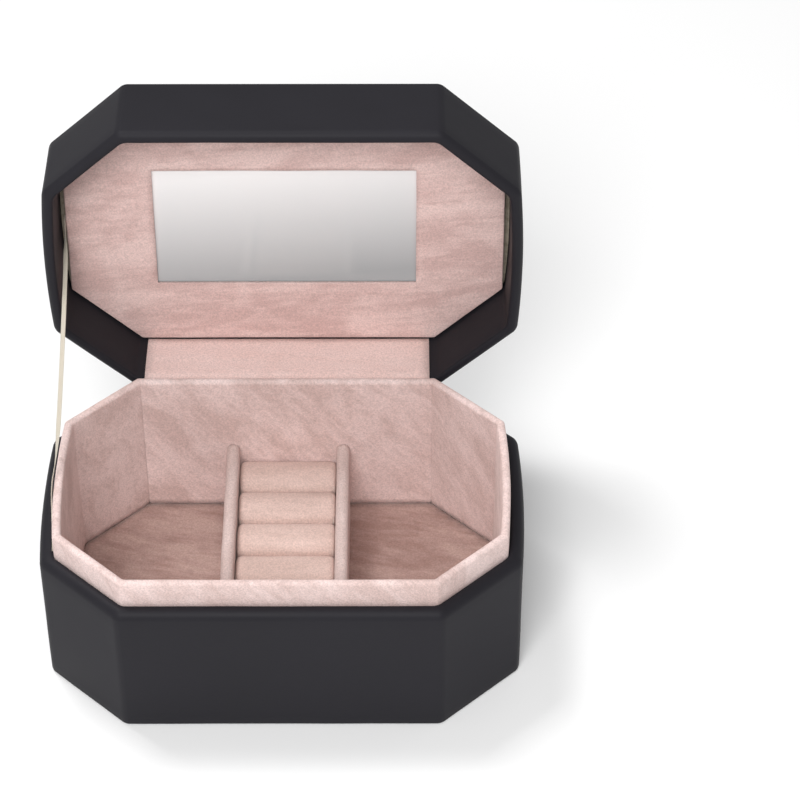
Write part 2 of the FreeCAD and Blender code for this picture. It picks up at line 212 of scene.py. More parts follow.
PLAN = Plan()
SWING = LidSwing()
RIM_Z = 62.05
LID_Z = 62.45
LIP_Z = 73.05
FLOOR_Z = 5.6
BOW_SPACING = 5.5
SNAP_DIGITS = 3


# Mesh tools


@dataclass(frozen=True)
class Course:
    """One ring of a wrapped skin: its inset, its height and the rounding of its edge."""

    inset: float
    z: float
    rounding: float = 0.0
    steps: int = 4


@dataclass(frozen=True)
class Unevenness:
    """How a sheet lies over its board: the distance between its points, and its waves."""

    spacing: float
    amount: float
    scale: float
    seed: float


def smooth_step(t: float) -> float:
    """Share that eases from 0 to 1 as t does."""
    t = min(1.0, max(0.0, t))
    return t * t * (3 - 2 * t)


def new_edges(bm: BMesh, make: Callable[[], object]) -> list[BMEdge]:
    """Edges that a step adds to a mesh.

    Args:
        bm: Mesh being built.
        make: Step to run.

    Returns:
        The edges that weren't there before.
    """
    before = set(bm.edges)
    make()
    return [e for e in bm.edges if e not in before]


def plan_ring(bm: BMesh, course: Course, corner: float, corner_steps: int, bow: float) -> list[BMEdge]:
    """Closed ring of edges along the plan, with rounded corners.

    Args:
        bm: Mesh being built.
        course: Inset and height of the ring.
        corner: Radius of its corners.
        corner_steps: Edges round each corner.
        bow: How far its short sides stand out.

    Returns:
        The ring's edges.
    """

    def make() -> None:
        """Draw the ring, bow it and round its corners."""
        verts = bmesh.ops.create_circle(bm, segments=8, radius=1.0)["verts"]
        for vert, (x, y) in zip(verts, PLAN.outline(course.inset)):
            vert.co = (x, y, course.z)
        if bow:
            reach = PLAN.outline(course.inset)[3][1]
            slice_evenly(bm, Axis.Y, BOW_SPACING, -reach, reach)
            for vert in bm.verts:
                vert.co.x += math.copysign(bow * PLAN.swell(course.inset, vert.co.y), vert.co.x)
        round_off(bm, verts, corner * math.tan(math.pi / 8), corner_steps)

    return new_edges(bm, make)


def round_off(bm: BMesh, parts: Sequence[BMVert] | Sequence[BMEdge], run: float, steps: int) -> None:
    """Round points of a line, or edges of a skin.

    Args:
        bm: Mesh being built.
        parts: Points or edges to round.
        run: How far from them the rounding starts.
        steps: Segments of the rounding.
    """
    bmesh.ops.bevel(
        bm,
        geom=list(parts),
        offset=run,
        offset_type="OFFSET",
        segments=steps,
        profile=0.5,
        affect="VERTICES" if isinstance(parts[0], BMVert) else "EDGES",
        material=-1,
        loop_slide=False,
    )


def draw_line(bm: BMesh, x: float, line: Sequence[Point], runs: Sequence[float], steps: int) -> None:
    """Draw a line in a plane across X, with its inner points rounded.

    Args:
        bm: Mesh being built.
        x: Place of the plane.
        line: Points of the line, as Y and Z.
        runs: How far from each inner point its rounding starts.
        steps: Segments of each rounding.
    """
    verts = [bm.verts.new((x, y, z)) for y, z in line]
    for a, b in zip(verts, verts[1:]):
        bm.edges.new((a, b))
    for vert, run in zip(verts[1:-1], runs):
        round_off(bm, [vert], run, steps)


def pull(bm: BMesh, edges: Sequence[BMEdge], move: tuple[float, float, float]) -> list[BMEdge]:
    """Extrude edges.

    Args:
        bm: Mesh being built.
        edges: Edges to extrude.
        move: How far the new edges go.

    Returns:
        The new edges at the far end.
    """
    added = bmesh.ops.extrude_edge_only(bm, edges=edges)["geom"]
    verts = {g for g in added if isinstance(g, BMVert)}
    bmesh.ops.translate(bm, vec=move, verts=list(verts))
    return [g for g in added if isinstance(g, BMEdge) and verts.issuperset(g.verts)]


def step_ring(verts: Iterable[BMVert], here: Course, there: Course) -> None:
    """Move a ring's points from one course to the next, each by its nearest corner.

    Args:
        verts: Points of the ring.
        here: Course that they are on.
        there: Course that they go to.
    """
    corners = [Vector((x, y, here.z)) for x, y in PLAN.outline(here.inset)]
    goals = [Vector((x, y, there.z)) for x, y in PLAN.outline(there.inset)]
    for vert in verts:
        nearest = min(range(len(corners)), key=lambda k: (vert.co - corners[k]).length)
        move = goals[nearest] - corners[nearest]
        move.y *= min(1.0, abs(vert.co.y / corners[nearest].y))
        vert.co += move


def wrap(
    bm: BMesh, courses: Sequence[Course], corner: float, corner_steps: int = 6, bow: float = PLAN.bow
) -> list[list[BMEdge]]:
    """Skin through rings of the plan, with each ring's edge rounded.

    Args:
        bm: Mesh being built.
        courses: Rings in order, from one free edge of the skin to the other.
        corner: Radius of the plan's corners.
        corner_steps: Edges round each corner.
        bow: How far the short sides stand out.

    Returns:
        The edges of the first and the last ring.
    """
    rings = [plan_ring(bm, courses[0], corner, corner_steps, bow)]
    for here, there in zip(courses, courses[1:]):
        rings.append(pull(bm, rings[-1], (0, 0, 0)))
        step_ring({v for e in rings[-1] for v in e.verts}, here, there)
    bmesh.ops.recalc_face_normals(bm, faces=bm.faces[:])
    for ring, course in zip(rings, courses):
        if course.rounding:
            round_off(bm, ring, course.rounding, course.steps)
    return [rings[0], rings[-1]]


def slice_evenly(bm: BMesh, axis: Axis, spacing: float, low: float, high: float) -> None:
    """Cut a mesh by even planes, to give it points to shape.

    Args:
        bm: Mesh being built.
        axis: Direction across the planes.
        spacing: Distance between planes.
        low: Where the first plane may be.
        high: Where the last plane may be.
    """
    count = max(1, round((high - low) / spacing))
    normal = Vector((0, 0, 0))
    normal[axis.value] = 1.0
    for n in range(1, count):
        at = low + (high - low) * n / count
        everything = bm.verts[:] + bm.edges[:] + bm.faces[:]
        bmesh.ops.bisect_plane(bm, geom=everything, dist=1e-4, plane_co=normal * at, plane_no=normal)


def slice_plan(bm: BMesh, spacing: float) -> None:
    """Cut a mesh by even planes across the width and the depth of the case."""
    slice_evenly(bm, Axis.X, spacing, -PLAN.width / 2, PLAN.width / 2)
    slice_evenly(bm, Axis.Y, spacing, -PLAN.depth / 2, PLAN.depth / 2)


def close(bm: BMesh, spacing: float = 0.0) -> None:
    """Fill the open ends of a skin and turn its faces outwards.

    Args:
        bm: Mesh being built.
        spacing: Distance between cuts over the plan, or nothing for none.
    """
    bmesh.ops.holes_fill(bm, edges=bm.edges[:], sides=0)
    if spacing:
        slice_plan(bm, spacing)
    bmesh.ops.recalc_face_normals(bm, faces=bm.faces[:])


def merge_close(bm: BMesh, reach: float) -> None:
    """Merge points that lie close together, in an order that is the same each run.

    Args:
        bm: Mesh being built.
        reach: Distance within which points are merged.
    """
    for vert in bm.verts:
        vert.co = [round(c, SNAP_DIGITS) for c in vert.co]
    bmesh.ops.remove_doubles(bm, verts=sorted(bm.verts, key=lambda v: tuple(v.co)), dist=reach)


def ruffle(bm: BMesh, amount: float, scale: float, seed: float) -> None:
    """Move points in and out by smooth noise, as cloth and leather lie over board.

    Args:
        bm: Mesh being built.
        amount: Largest movement.
        scale: Size of the waves.
        seed: Which noise to use.
    """
    bm.normal_update()
    shift = Vector((seed, seed * 1.7, seed * 0.6))
    moves = [v.normal * amount * noise.noise(v.co / scale + shift) for v in bm.verts]
    for vert, move in zip(bm.verts, moves):
        vert.co += move


def soften(bm: BMesh, heights: Point, lie: Unevenness) -> None:
    """Give a sheet points to shape, and let it lie a little unevenly.

    Args:
        bm: Mesh being built.
        heights: Lowest and highest plane across Z.
        lie: Distance between its points, and its waves.
    """
    slice_plan(bm, lie.spacing)
    slice_evenly(bm, Axis.Z, lie.spacing, *heights)
    merge_close(bm, 0.05)
    bmesh.ops.recalc_face_normals(bm, faces=bm.faces[:])
    ruffle(bm, lie.amount, lie.scale, lie.seed)


def piece(
    bm: BMesh, name: str, shut: bool = False, thick: float = 0.0, side: float = -1.0
) -> bpy.types.Object:
    """Object made from a mesh in millimetres.

    Args:
        bm: Finished mesh, freed here.
        name: Name of the piece.
        shut: Whether it was modelled on the shut lid and has to swing open.
        thick: Thickness to give a skin, or nothing for a closed mesh.
        side: Where the thickness goes: -1 behind the skin, 0 to both sides of it.

    Returns:
        The object, at the origin with its place in its mesh.
    """
    if shut:
        bmesh.ops.transform(bm, matrix=SWING.matrix(), verts=bm.verts[:])
    bmesh.ops.scale(bm, vec=(MM, MM, MM), verts=bm.verts[:])
    mesh = bpy.data.meshes.new(name)
    bm.to_mesh(mesh)
    bm.free()
    made = bpy.data.objects.new(name, mesh)
    bpy.context.scene.collection.objects.link(made)
    if thick:
        sheet = made.modifiers.new("thickness", "SOLIDIFY")
        sheet.thickness = thick * MM
        sheet.offset = side
        graph = bpy.context.evaluated_depsgraph_get()
        made.data = bpy.data.meshes.new_from_object(made.evaluated_get(graph))
        made.modifiers.clear()
        bpy.data.meshes.remove(mesh)
    made.data.shade_smooth()
    return made


def dress(made: bpy.types.Object, material: bpy.types.Material, slot: Slot, *nodes: str) -> None:
    """Give a piece its finish and hide the nodes that it stands for.

    Args:
        made: Piece to dress.
        material: Its finish.
        slot: Slot of the record that it takes; not used.
        nodes: Nodes that it stands for.
    """
    made.data.materials.clear()
    made.data.materials.append(material)
    if nodes:
        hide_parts(*nodes)
    log.info("%s: %d faces", made.name, len(made.data.polygons))


# Materials


class Wiring:
    """Adds nodes to a shader tree and joins them."""

    def __init__(self, tree: bpy.types.NodeTree) -> None:
        """Keep the tree that nodes are added to."""
        self.tree = tree

    def node(
        self, kind: str, inputs: dict[str, object] | None = None, **settings: object
    ) -> bpy.types.Node:
        """Add a node.

        Args:
            kind: Node type, without its ShaderNode prefix.
            inputs: Values or sockets for its inputs, by name.
            settings: Properties of the node.

        Returns:
            The new node.
        """
        made = self.tree.nodes.new("ShaderNode" + kind)
        for name, value in settings.items():
            setattr(made, name, value)
        self.fill(made, inputs or {})
        return made

    def fill(self, made: bpy.types.Node, inputs: dict[str, object]) -> None:
        """Set or join several inputs of a node, by name."""
        for name, value in inputs.items():
            self.put(made.inputs[name], value)

    def put(self, socket: bpy.types.NodeSocket, value: object) -> None:
        """Join a socket to an input, or set the input's value.

        Args:
            socket: The input.
            value: A socket to join to it, or its value.
        """
        if isinstance(value, bpy.types.NodeSocket):
            self.tree.links.new(value, socket)
        else:
            socket.default_value = value

    def math(self, operation: str, a: object, b: object = 0.0) -> bpy.types.NodeSocket:
        """Result of a sum on two values.

        Args:
            operation: Which sum.
            a: First value or socket.
            b: Second value or socket.

        Returns:
            The socket with the result.
        """
        made = self.node("Math", operation=operation)
        self.put(made.inputs[0], a)
        self.put(made.inputs[1], b)
        return made.outputs[0]

    def weighted(self, parts: Sequence[tuple[bpy.types.NodeSocket, float]]) -> bpy.types.NodeSocket:
        """Sum of values, each by its weight.

        Args:
            parts: Values and their weights.

        Returns:
            The socket with the sum.
        """
        total: object = 0.0
        for value, weight in parts:
            total = self.math("ADD", total, self.math("MULTIPLY", value, weight))
        return total

    def mix(self, factor: object, a: object, b: object, blend: str = "MIX") -> bpy.types.NodeSocket:
        """Mix of two colours.

        Args:
            factor: Share of the second colour.
            a: First colour.
            b: Second colour.
            blend: How they are mixed.

        Returns:
            The socket with the mix.
        """
        made = self.node("Mix", data_type="RGBA", blend_type=blend)
        self.put(made.inputs[0], factor)
        self.put(made.inputs[6], a)
        self.put(made.inputs[7], b)
        return made.outputs[2]

    def span(
        self, value: object, low: float, high: float, to_low: float, to_high: float
    ) -> bpy.types.NodeSocket:
        """Value spread from one range onto another, clamped."""
        inputs = {"Value": value, "From Min": low, "From Max": high, "To Min": to_low, "To Max": to_high}
        return self.node("MapRange", inputs, clamp=True).outputs["Result"]

    def noise(
        self, vector: object, scale: object, detail: float, rough: float, warp: float = 0.0
    ) -> bpy.types.NodeSocket:
        """Smooth noise value."""
        inputs = {"Vector": vector, "Scale": scale, "Detail": detail, "Roughness": rough}
        return self.node("TexNoise", {**inputs, "Distortion": warp}).outputs[0]

    def stretched(self, vector: object, by: Sequence[float]) -> bpy.types.NodeSocket:
        """Vector with each part multiplied.

        Args:
            vector: The vector's socket.
            by: Factor of each part.

        Returns:
            The socket with the new vector.
        """
        made = self.node("VectorMath", operation="MULTIPLY")
        self.put(made.inputs[0], vector)
        self.put(made.inputs[1], tuple(by))
        return made.outputs[0]

    def place(self) -> bpy.types.NodeSocket:
        """Place on the object, in metres."""
        return self.node("TexCoord").outputs["Object"]

    def parts(self, vector: object) -> bpy.types.NodeOutputs:
        """Three parts of a vector."""
        return self.node("SeparateXYZ", {"Vector": vector}).outputs

    def bump(self, shader: bpy.types.Node, height: object, strength: float, distance: float) -> None:
        """Raise a shader's surface by a height."""
        made = self.node("Bump", {"Strength": strength, "Distance": distance, "Height": height})
        self.put(shader.inputs["Normal"], made.outputs[0])


def group_sockets(tree: bpy.types.NodeTree, into: dict[str, str], out: Iterable[str]) -> None:
    """Give a node group its named inputs and outputs.

    Args:
        tree: The group.
        into: Input names and their socket types.
        out: Names of its value outputs.
    """
    for name, kind in into.items():
        tree.interface.new_socket(name, in_out="INPUT", socket_type=kind)
    for name in out:
        tree.interface.new_socket(name, in_out="OUTPUT", socket_type="NodeSocketFloat")


def nap_group() -> bpy.types.NodeTree:
    """Node group of a suede nap: brushed strokes, clouds and fibres.

    Returns:
        Group with a tone, a speckle and a height that vary over the surface.
    """
    tree = bpy.data.node_groups.new("suede_nap", "ShaderNodeTree")
    group_sockets(
        tree,
        {"Vector": "NodeSocketVector", "Lay": "NodeSocketVector"},
        ("Tone", "Speckle", "Height"),
    )
    w = Wiring(tree)
    into = tree.nodes.new("NodeGroupInput")
    out = tree.nodes.new("NodeGroupOutput")
    turned = w.node(
        "VectorRotate",
        {"Vector": into.outputs["Vector"], "Rotation": into.outputs["Lay"]},
        rotation_type="EULER_XYZ",
    ).outputs[0]
    along = w.stretched(turned, (1.0, 5.0, 5.0))
    cloud = w.noise(turned, 34.0, 3.0, 0.55, 0.8)
    stroke = w.noise(along, 17.0, 4.0, 0.62, 0.7)
    brushed = w.noise(along, 95.0, 3.0, 0.6, 0.3)
    pile = w.noise(into.outputs["Vector"], 640.0, 2.0, 0.6)
    fibre = w.noise(into.outputs["Vector"], 1500.0, 3.0, 0.7)
    tone = w.weighted(((cloud, 0.28), (stroke, 0.44), (brushed, 0.22), (pile, 0.06)))
    w.put(out.inputs["Tone"], w.span(tone, 0.43, 0.57, 0.0, 1.0))
    w.put(out.inputs["Speckle"], w.span(fibre, 0.34, 0.66, 0.0, 1.0))
    w.put(out.inputs["Height"], w.weighted(((fibre, 1.0), (pile, 0.6))))
    return tree


def grain_group() -> bpy.types.NodeTree:
    """Node group of a fine leather grain.

    Returns:
        Group with a tone and a height that vary over the surface.
    """
    tree = bpy.data.node_groups.new("leather_grain", "ShaderNodeTree")
    group_sockets(tree, {"Vector": "NodeSocketVector", "Pebble": "NodeSocketFloat"}, ("Tone", "Height"))
    w = Wiring(tree)
    into = tree.nodes.new("NodeGroupInput")
    out = tree.nodes.new("NodeGroupOutput")
    pebble = w.node(
        "TexVoronoi",
        {"Vector": into.outputs["Vector"], "Scale": into.outputs["Pebble"], "Randomness": 1.0},
        feature="SMOOTH_F1",
    ).outputs["Distance"]
    pores = w.noise(into.outputs["Vector"], 3600.0, 2.0, 0.6)
    clouds = w.noise(into.outputs["Vector"], 20.0, 4.0, 0.55, 0.4)
    raised = w.math("SUBTRACT", 1.0, pebble)
    fine = w.math("MULTIPLY", pores, 0.35)
    w.put(out.inputs["Height"], w.math("ADD", raised, fine))
    w.put(out.inputs["Tone"], w.span(clouds, 0.3, 0.7, 0.0, 1.0))
    return tree


def blank_material(name: str) -> tuple[bpy.types.Material, Wiring, bpy.types.Node]:
    """Empty material with one shader.

    Args:
        name: Name of the material.

    Returns:
        The material, its wiring and its Principled shader.
    """
    material = bpy.data.materials.new(name)
    material.use_nodes = True
    shader = material.node_tree.nodes["Principled BSDF"]
    return material, Wiring(material.node_tree), shader


def rgba(colour: Colour) -> tuple[float, float, float, float]:
    """Colour with full alpha."""
    return (*colour, 1.0)


@dataclass(frozen=True)
class SuedeFinish:
    """Brushed suede: two tones of one dye, and how its nap lies."""

    name: str
    light: Colour
    dark: Colour
    lay: tuple[float, float, float] = (0.0, 0.0, 0.0)
    speckle: float = 0.15
    sheen: float = 0.25

    def build(self, nap: bpy.types.NodeTree) -> bpy.types.Material:
        """Make the material.

        Args:
            nap: Shared group of the suede's nap.

        Returns:
            The finished material.
        """
        material, w, shader = blank_material(self.name)
        lay = tuple(math.radians(a) for a in self.lay)
        group = w.node("Group", {"Vector": w.place(), "Lay": lay}, node_tree=nap).outputs
        dyed = w.mix(group["Tone"], rgba(self.dark), rgba(self.light))
        fleck = w.span(group["Speckle"], 0.0, 1.0, 1.0 - self.speckle, 1.0 + self.speckle)
        inputs = {
            "Base Color": w.mix(1.0, dyed, fleck, "MULTIPLY"),
            "Roughness": 0.92,
            "Specular IOR Level": 0.15,
            "Sheen Weight": self.sheen,
            "Sheen Roughness": 0.45,
            "Sheen Tint": rgba((1.0, 0.90, 0.86)),
        }
        w.fill(shader, inputs)
        w.bump(shader, group["Height"], 0.55, 0.00035)
        return material


@dataclass(frozen=True)
class LeatherFinish:
    """Smooth charcoal leather with a fine grain."""

    name: str = "charcoal_leather"
    light: Colour = (0.0195, 0.0184, 0.0232)
    dark: Colour = (0.0163, 0.0153, 0.0193)
    pebble: float = 1150.0

    def build(self, grain: bpy.types.NodeTree) -> bpy.types.Material:
        """Make the material.

        Args:
            grain: Shared group of the leather's grain.

        Returns:
            The finished material.
        """
        material, w, shader = blank_material(self.name)
        inputs = {"Vector": w.place(), "Pebble": self.pebble}
        group = w.node("Group", inputs, node_tree=grain).outputs
        inputs = {
            "Base Color": w.mix(group["Tone"], rgba(self.dark), rgba(self.light)),
            "Roughness": w.span(group["Tone"], 0.0, 1.0, 0.52, 0.60),
            "Specular IOR Level": 0.16,
        }
        w.fill(shader, inputs)
        w.bump(shader, group["Height"], 0.10, 0.0002)
        return material


@dataclass(frozen=True)
class RibbonFinish:
    """Cream woven ribbon, ribbed across, with small beige picks."""

    name: str = "woven_ribbon"
    thread: Colour = (0.70, 0.64, 0.54)
    pick: Colour = (0.36, 0.30, 0.22)
    ribs: float = 160.0
    warps: float = 6.0

    def build(self) -> bpy.types.Material:
        """Make the material from the ribbon's own UV map: across in U, along in V.

        Returns:
            The finished material.
        """
        material, w, shader = blank_material(self.name)
        across, along, _ = w.parts(w.node("UVMap", uv_map="weave").outputs[0])
        rib = w.math("SINE", w.math("MULTIPLY", along, self.ribs * 2 * math.pi))
        warp = w.math("SINE", w.math("MULTIPLY", across, self.warps * 2 * math.pi))
        weave = w.math("MULTIPLY", rib, warp)
        fuzz = w.noise(w.place(), 1800.0, 2.0, 0.6)
        dots = w.span(w.math("ADD", weave, w.math("MULTIPLY", fuzz, 0.5)), 0.25, 0.85, 0.0, 0.85)
        tone = w.mix(dots, rgba(self.thread), rgba(self.pick))
        w.fill(shader, {"Base Color": tone, "Roughness": 0.7, "Sheen Weight": 0.2})
        w.bump(shader, w.math("ADD", rib, w.math("MULTIPLY", weave, 0.5)), 0.5, 0.00012)
        return material


@dataclass(frozen=True)
class MirrorFinish:
    """Silvered glass plate with a painted reflection: whiter at the top and greyer towards the hinge."""

    name: str = "silvered_glass"
    # Whiter and greyer ends of the painted reflection.
    reflected_light: Colour = (1.0, 1.0, 1.0)
    reflected_shade: Colour = (0.46, 0.478, 0.486)
    low_z: float = 93.6
    high_z: float = 145.6
    lean: float = 0.12

    def build(self) -> bpy.types.Material:
        """Make the material: glass whose base colour paints its reflection, with a depth of tone that
        follows the height of the plate.

        Returns:
            The finished material.
        """
        material, w, shader = blank_material(self.name)
        across, _, up = w.parts(w.place())
        # Painted reflection: greyer low on the plate, whiter high up, tilted across it.
        height = w.math("ADD", up, w.math("MULTIPLY", across, -self.lean))
        painted_reflection_fade = w.span(height, self.low_z * MM, self.high_z * MM, 0.0, 1.0)
        tone = w.mix(painted_reflection_fade, rgba(self.reflected_shade), rgba(self.reflected_light))
        w.fill(shader, {"Base Color": tone, "Metallic": 0.06, "Roughness": 0.05})
        return material


@dataclass(frozen=True)
class FleckedFinish:
    """Plain stuff in two tones: pulp board, card, foam and twisted thread."""

    name: str
    light: Colour
    dark: Colour
    flecks: float
    detail: float = 4.0
    harshness: float = 0.65
    relief: float = 0.3
    depth: float = 0.0002
    roughness: float = 0.95

    def build(self) -> bpy.types.Material:
        """Make the material.

        Returns:
            The finished material.
        """
        material, w, shader = blank_material(self.name)
        fleck = w.noise(w.place(), self.flecks, self.detail, self.harshness)
        tone = w.mix(w.span(fleck, 0.35, 0.65, 0.0, 1.0), rgba(self.dark), rgba(self.light))
        w.fill(shader, {"Base Color": tone, "Roughness": self.roughness})
        w.bump(shader, fleck, self.relief, self.depth)
        return material


# One pink suede in copies whose colours were set lighter or darker for how each place is lit: painted
# shade on the floor, the dividers and the rolls; painted light on the hinge strip.
SUEDES = (
    SuedeFinish("wall_suede", (0.835, 0.662, 0.631), (0.676, 0.507, 0.473), (0, -50, 12)),
    SuedeFinish("panel_suede", (0.824, 0.616, 0.578), (0.667, 0.460, 0.429), (0, 6, 4)),
    SuedeFinish("strip_suede", (0.900, 0.694, 0.652), (0.872, 0.647, 0.600), (0, 0, 5)),
    SuedeFinish("divider_suede", (0.659, 0.530, 0.498), (0.576, 0.447, 0.415), (0, 0, 90)),
    SuedeFinish("floor_suede", (0.510, 0.360, 0.321), (0.371, 0.240, 0.209), (0, 0, 12)),
    SuedeFinish("roll_suede", (0.686, 0.519, 0.466), (0.610, 0.450, 0.399), (0, 0, 0)),
)
THREAD = FleckedFinish(
    "stitch_thread", (0.060, 0.060, 0.064), (0.022, 0.022, 0.024), 4200.0, 1.0, 0.5, 0.4, 0.0001, 0.4
)
CORES = {
    Slot.BOARD: FleckedFinish("pulp_board", (0.46, 0.40, 0.32), (0.30, 0.26, 0.20), 420.0),
    Slot.CARD: FleckedFinish("plain_card", (0.56, 0.54, 0.50), (0.42, 0.40, 0.36), 700.0),
    Slot.FOAM: FleckedFinish("pale_foam", (0.82, 0.80, 0.74), (0.62, 0.60, 0.54), 900.0),
}


@dataclass
class Finishes:
    """Every finish of the case, built once."""

    leather: bpy.types.Material = field(init=False)
    suede: dict[str, bpy.types.Material] = field(init=False)
    ribbon: bpy.types.Material = field(init=False)
    thread: bpy.types.Material = field(init=False)
    mirror: bpy.types.Material = field(init=False)
    cores: dict[str, bpy.types.Material] = field(init=False)

    def __post_init__(self) -> None:
        """Build the shared node groups and every material."""
        nap = nap_group()
        self.leather = LeatherFinish().build(grain_group())
        self.suede = {finish.name: finish.build(nap) for finish in SUEDES}
        self.ribbon = RibbonFinish().build()
        self.thread = THREAD.build()
        self.mirror = MirrorFinish().build()
        self.cores = {slot.value: finish.build() for slot, finish in CORES.items()}


# Sub-assemblies


@dataclass
class Assembly:
    """Part of the case, dressed in the shared finishes."""

    finishes: Finishes


@dataclass
class BaseShell(Assembly):
    """Leather round the base, turned in over the rim and under the floor, and the sheet below."""

    corner: float = 4.4
    bottom_z: float = 0.5
    rim_round: float = 3.6
    rim_inner_round: float = 1.2
    turn_in: float = 14.0
    turn_in_inset: float = 5.3
    turn_under: float = 12.0
    leather: float = 0.55
    sheet_inset: float = 2.5
    sheet_corner: float = 2.0
    lie: Unevenness = Unevenness(5.0, 0.12, 26.0, 1.3)

    def build(self) -> None:
        """Make the wall leather and the bottom sheet."""
        self._wall()
        self._bottom()

    def _wall(self) -> None:
        """Wrap the wall from under the floor, up and over the rim."""
        bm = bmesh.new()
        courses = [
            Course(self.turn_under, self.bottom_z),
            Course(0.0, self.bottom_z, 0.6, 3),
            Course(0.0, RIM_Z, self.rim_round, 6),
            Course(self.turn_in_inset, RIM_Z, self.rim_inner_round, 4),
            Course(self.turn_in_inset, RIM_Z - self.turn_in),
        ]
        wrap(bm, courses, self.corner)
        soften(bm, (self.bottom_z, RIM_Z - self.rim_round), self.lie)
        made = piece(bm, "base_leather_wrap", thick=self.leather)
        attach(made, Body.BASE.value)
        dress(made, self.finishes.leather, Slot.LEATHER, "base_wall_leather")

    def _bottom(self) -> None:
        """Lay the thin sheet over the turned-under edges."""
        bm = bmesh.new()
        courses = [Course(self.sheet_inset, self.bottom_z), Course(self.sheet_inset, 0.0)]
        wrap(bm, courses, self.sheet_corner)
        close(bm)
        made = piece(bm, "base_bottom_sheet")
        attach(made, Body.BASE.value)
        dress(made, self.finishes.leather, Slot.LEATHER, "base_bottom_leather")


@dataclass
class Liner(Assembly):
    """Suede over the liner boards, with a soft lip that stands above the rim."""

    outer_inset: float = 5.4
    inner_inset: float = 8.6
    low_z: float = 4.3
    corner: float = 1.6
    lip_round: float = 1.5
    suede: float = 0.5
    seam_depth: float = 0.45
    seam_reach: float = 0.35
    lie: Unevenness = Unevenness(4.0, 0.14, 18.0, 4.1)

    def build(self) -> None:
        """Make the lining, with a seam down each end of the long walls."""
        bm = bmesh.new()
        courses = [
            Course(self.outer_inset, self.low_z),
            Course(self.outer_inset, LIP_Z, self.lip_round, 6),
            Course(self.inner_inset, LIP_Z, self.lip_round, 6),
            Course(self.inner_inset, self.low_z),
        ]
        wrap(bm, courses, self.corner, corner_steps=4)
        soften(bm, (self.low_z, LIP_Z - self.lip_round), self.lie)
        self._draw_in_seams(bm)
        made = piece(bm, "liner_wrap", thick=self.suede)
        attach(made, Body.BASE.value)
        dress(made, self.finishes.suede["wall_suede"], Slot.SUEDE, "liner_suede")

    def _draw_in_seams(self, bm: BMesh) -> None:
        """Press a groove where the long walls meet the cut corners.

        Args:
            bm: Mesh of the lining.
        """
        corners = PLAN.outline(self.inner_inset)
        for index in (0, 1, 4, 5):
            x, y = corners[index]
            away = Vector((x, y, 0)).normalized()
            for vert in bm.verts:
                near = math.hypot(vert.co.x - x, vert.co.y - y) < self.seam_reach
                if near and vert.co.z < LIP_Z - self.lip_round:
                    vert.co += away * self.seam_depth


@dataclass
class Compartments(Assembly):
    """Suede floor and the two dividers."""

    floor_inset: float = 8.7
    floor_low: float = 5.0
    floor_corner: float = 3.0
    divider_x: float = 21.8
    divider_thick: float = 5.0
    divider_top: float = 39.2
    reach: float = 51.5
    suede: float = 0.7
    top_fullness: float = 0.985
    floor_lie: Unevenness = Unevenness(4.0, 0.12, 16.0, 0.0)
    divider_lie: Unevenness = Unevenness(2.5, 0.14, 9.0, 2.2)
    seed_step: float = 0.1

    def build(self) -> None:
        """Make the floor and both dividers."""
        self._floor()
        for side, x in (("left", -self.divider_x), ("right", self.divider_x)):
            self._divider(side, x)

    def _floor(self) -> None:
        """Lay the floor's suede, slightly uneven over its card."""
        bm = bmesh.new()
        courses = [Course(self.floor_inset, self.floor_low), Course(self.floor_inset, FLOOR_Z)]
        wrap(bm, courses, self.floor_corner)
        close(bm, self.floor_lie.spacing)
        top = [v for v in bm.verts if v.co.z > FLOOR_Z - 0.01]
        for vert in top:
            vert.co.z += self.floor_lie.amount * noise.noise(vert.co / self.floor_lie.scale)
        made = piece(bm, "floor_lining")
        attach(made, Body.BASE.value)
        dress(made, self.finishes.suede["floor_suede"], Slot.FLOOR_SUEDE, "floor_suede")

    def _divider(self, side: str, x: float) -> None:
        """Fold suede over one divider, with a full round along its top.

        Args:
            side: Which divider, left or right.
            x: Its middle.
        """
        bm = bmesh.new()
        half = self.divider_thick / 2
        size = (self.divider_thick, 2 * self.reach, self.divider_top - FLOOR_Z)
        middle = Matrix.Translation((x, 0, (self.divider_top + FLOOR_Z) / 2))
        bmesh.ops.create_cube(bm, size=1.0, matrix=middle @ Matrix.Diagonal((*size, 1.0)))
        ends = [f for f in bm.faces if abs(f.normal.y) > 0.9 or f.normal.z < -0.9]
        bmesh.ops.delete(bm, geom=ends, context="FACES_ONLY")
        top = []
        for edge in bm.edges:
            a, b = (v.co for v in edge.verts)
            if min(a.z, b.z) > FLOOR_Z + half and abs(a.y - b.y) > half:
                top.append(edge)
        round_off(bm, top, half * self.top_fullness, 8)
        lie = replace(self.divider_lie, seed=self.divider_lie.seed + x * self.seed_step)
        soften(bm, (FLOOR_Z, self.divider_top - half), lie)
        made = piece(bm, f"divider_{side}_wrap", thick=self.suede)
        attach(made, Body.BASE.value)
        dress(made, self.finishes.suede["divider_suede"], Slot.SUEDE, f"divider_{side}_suede")


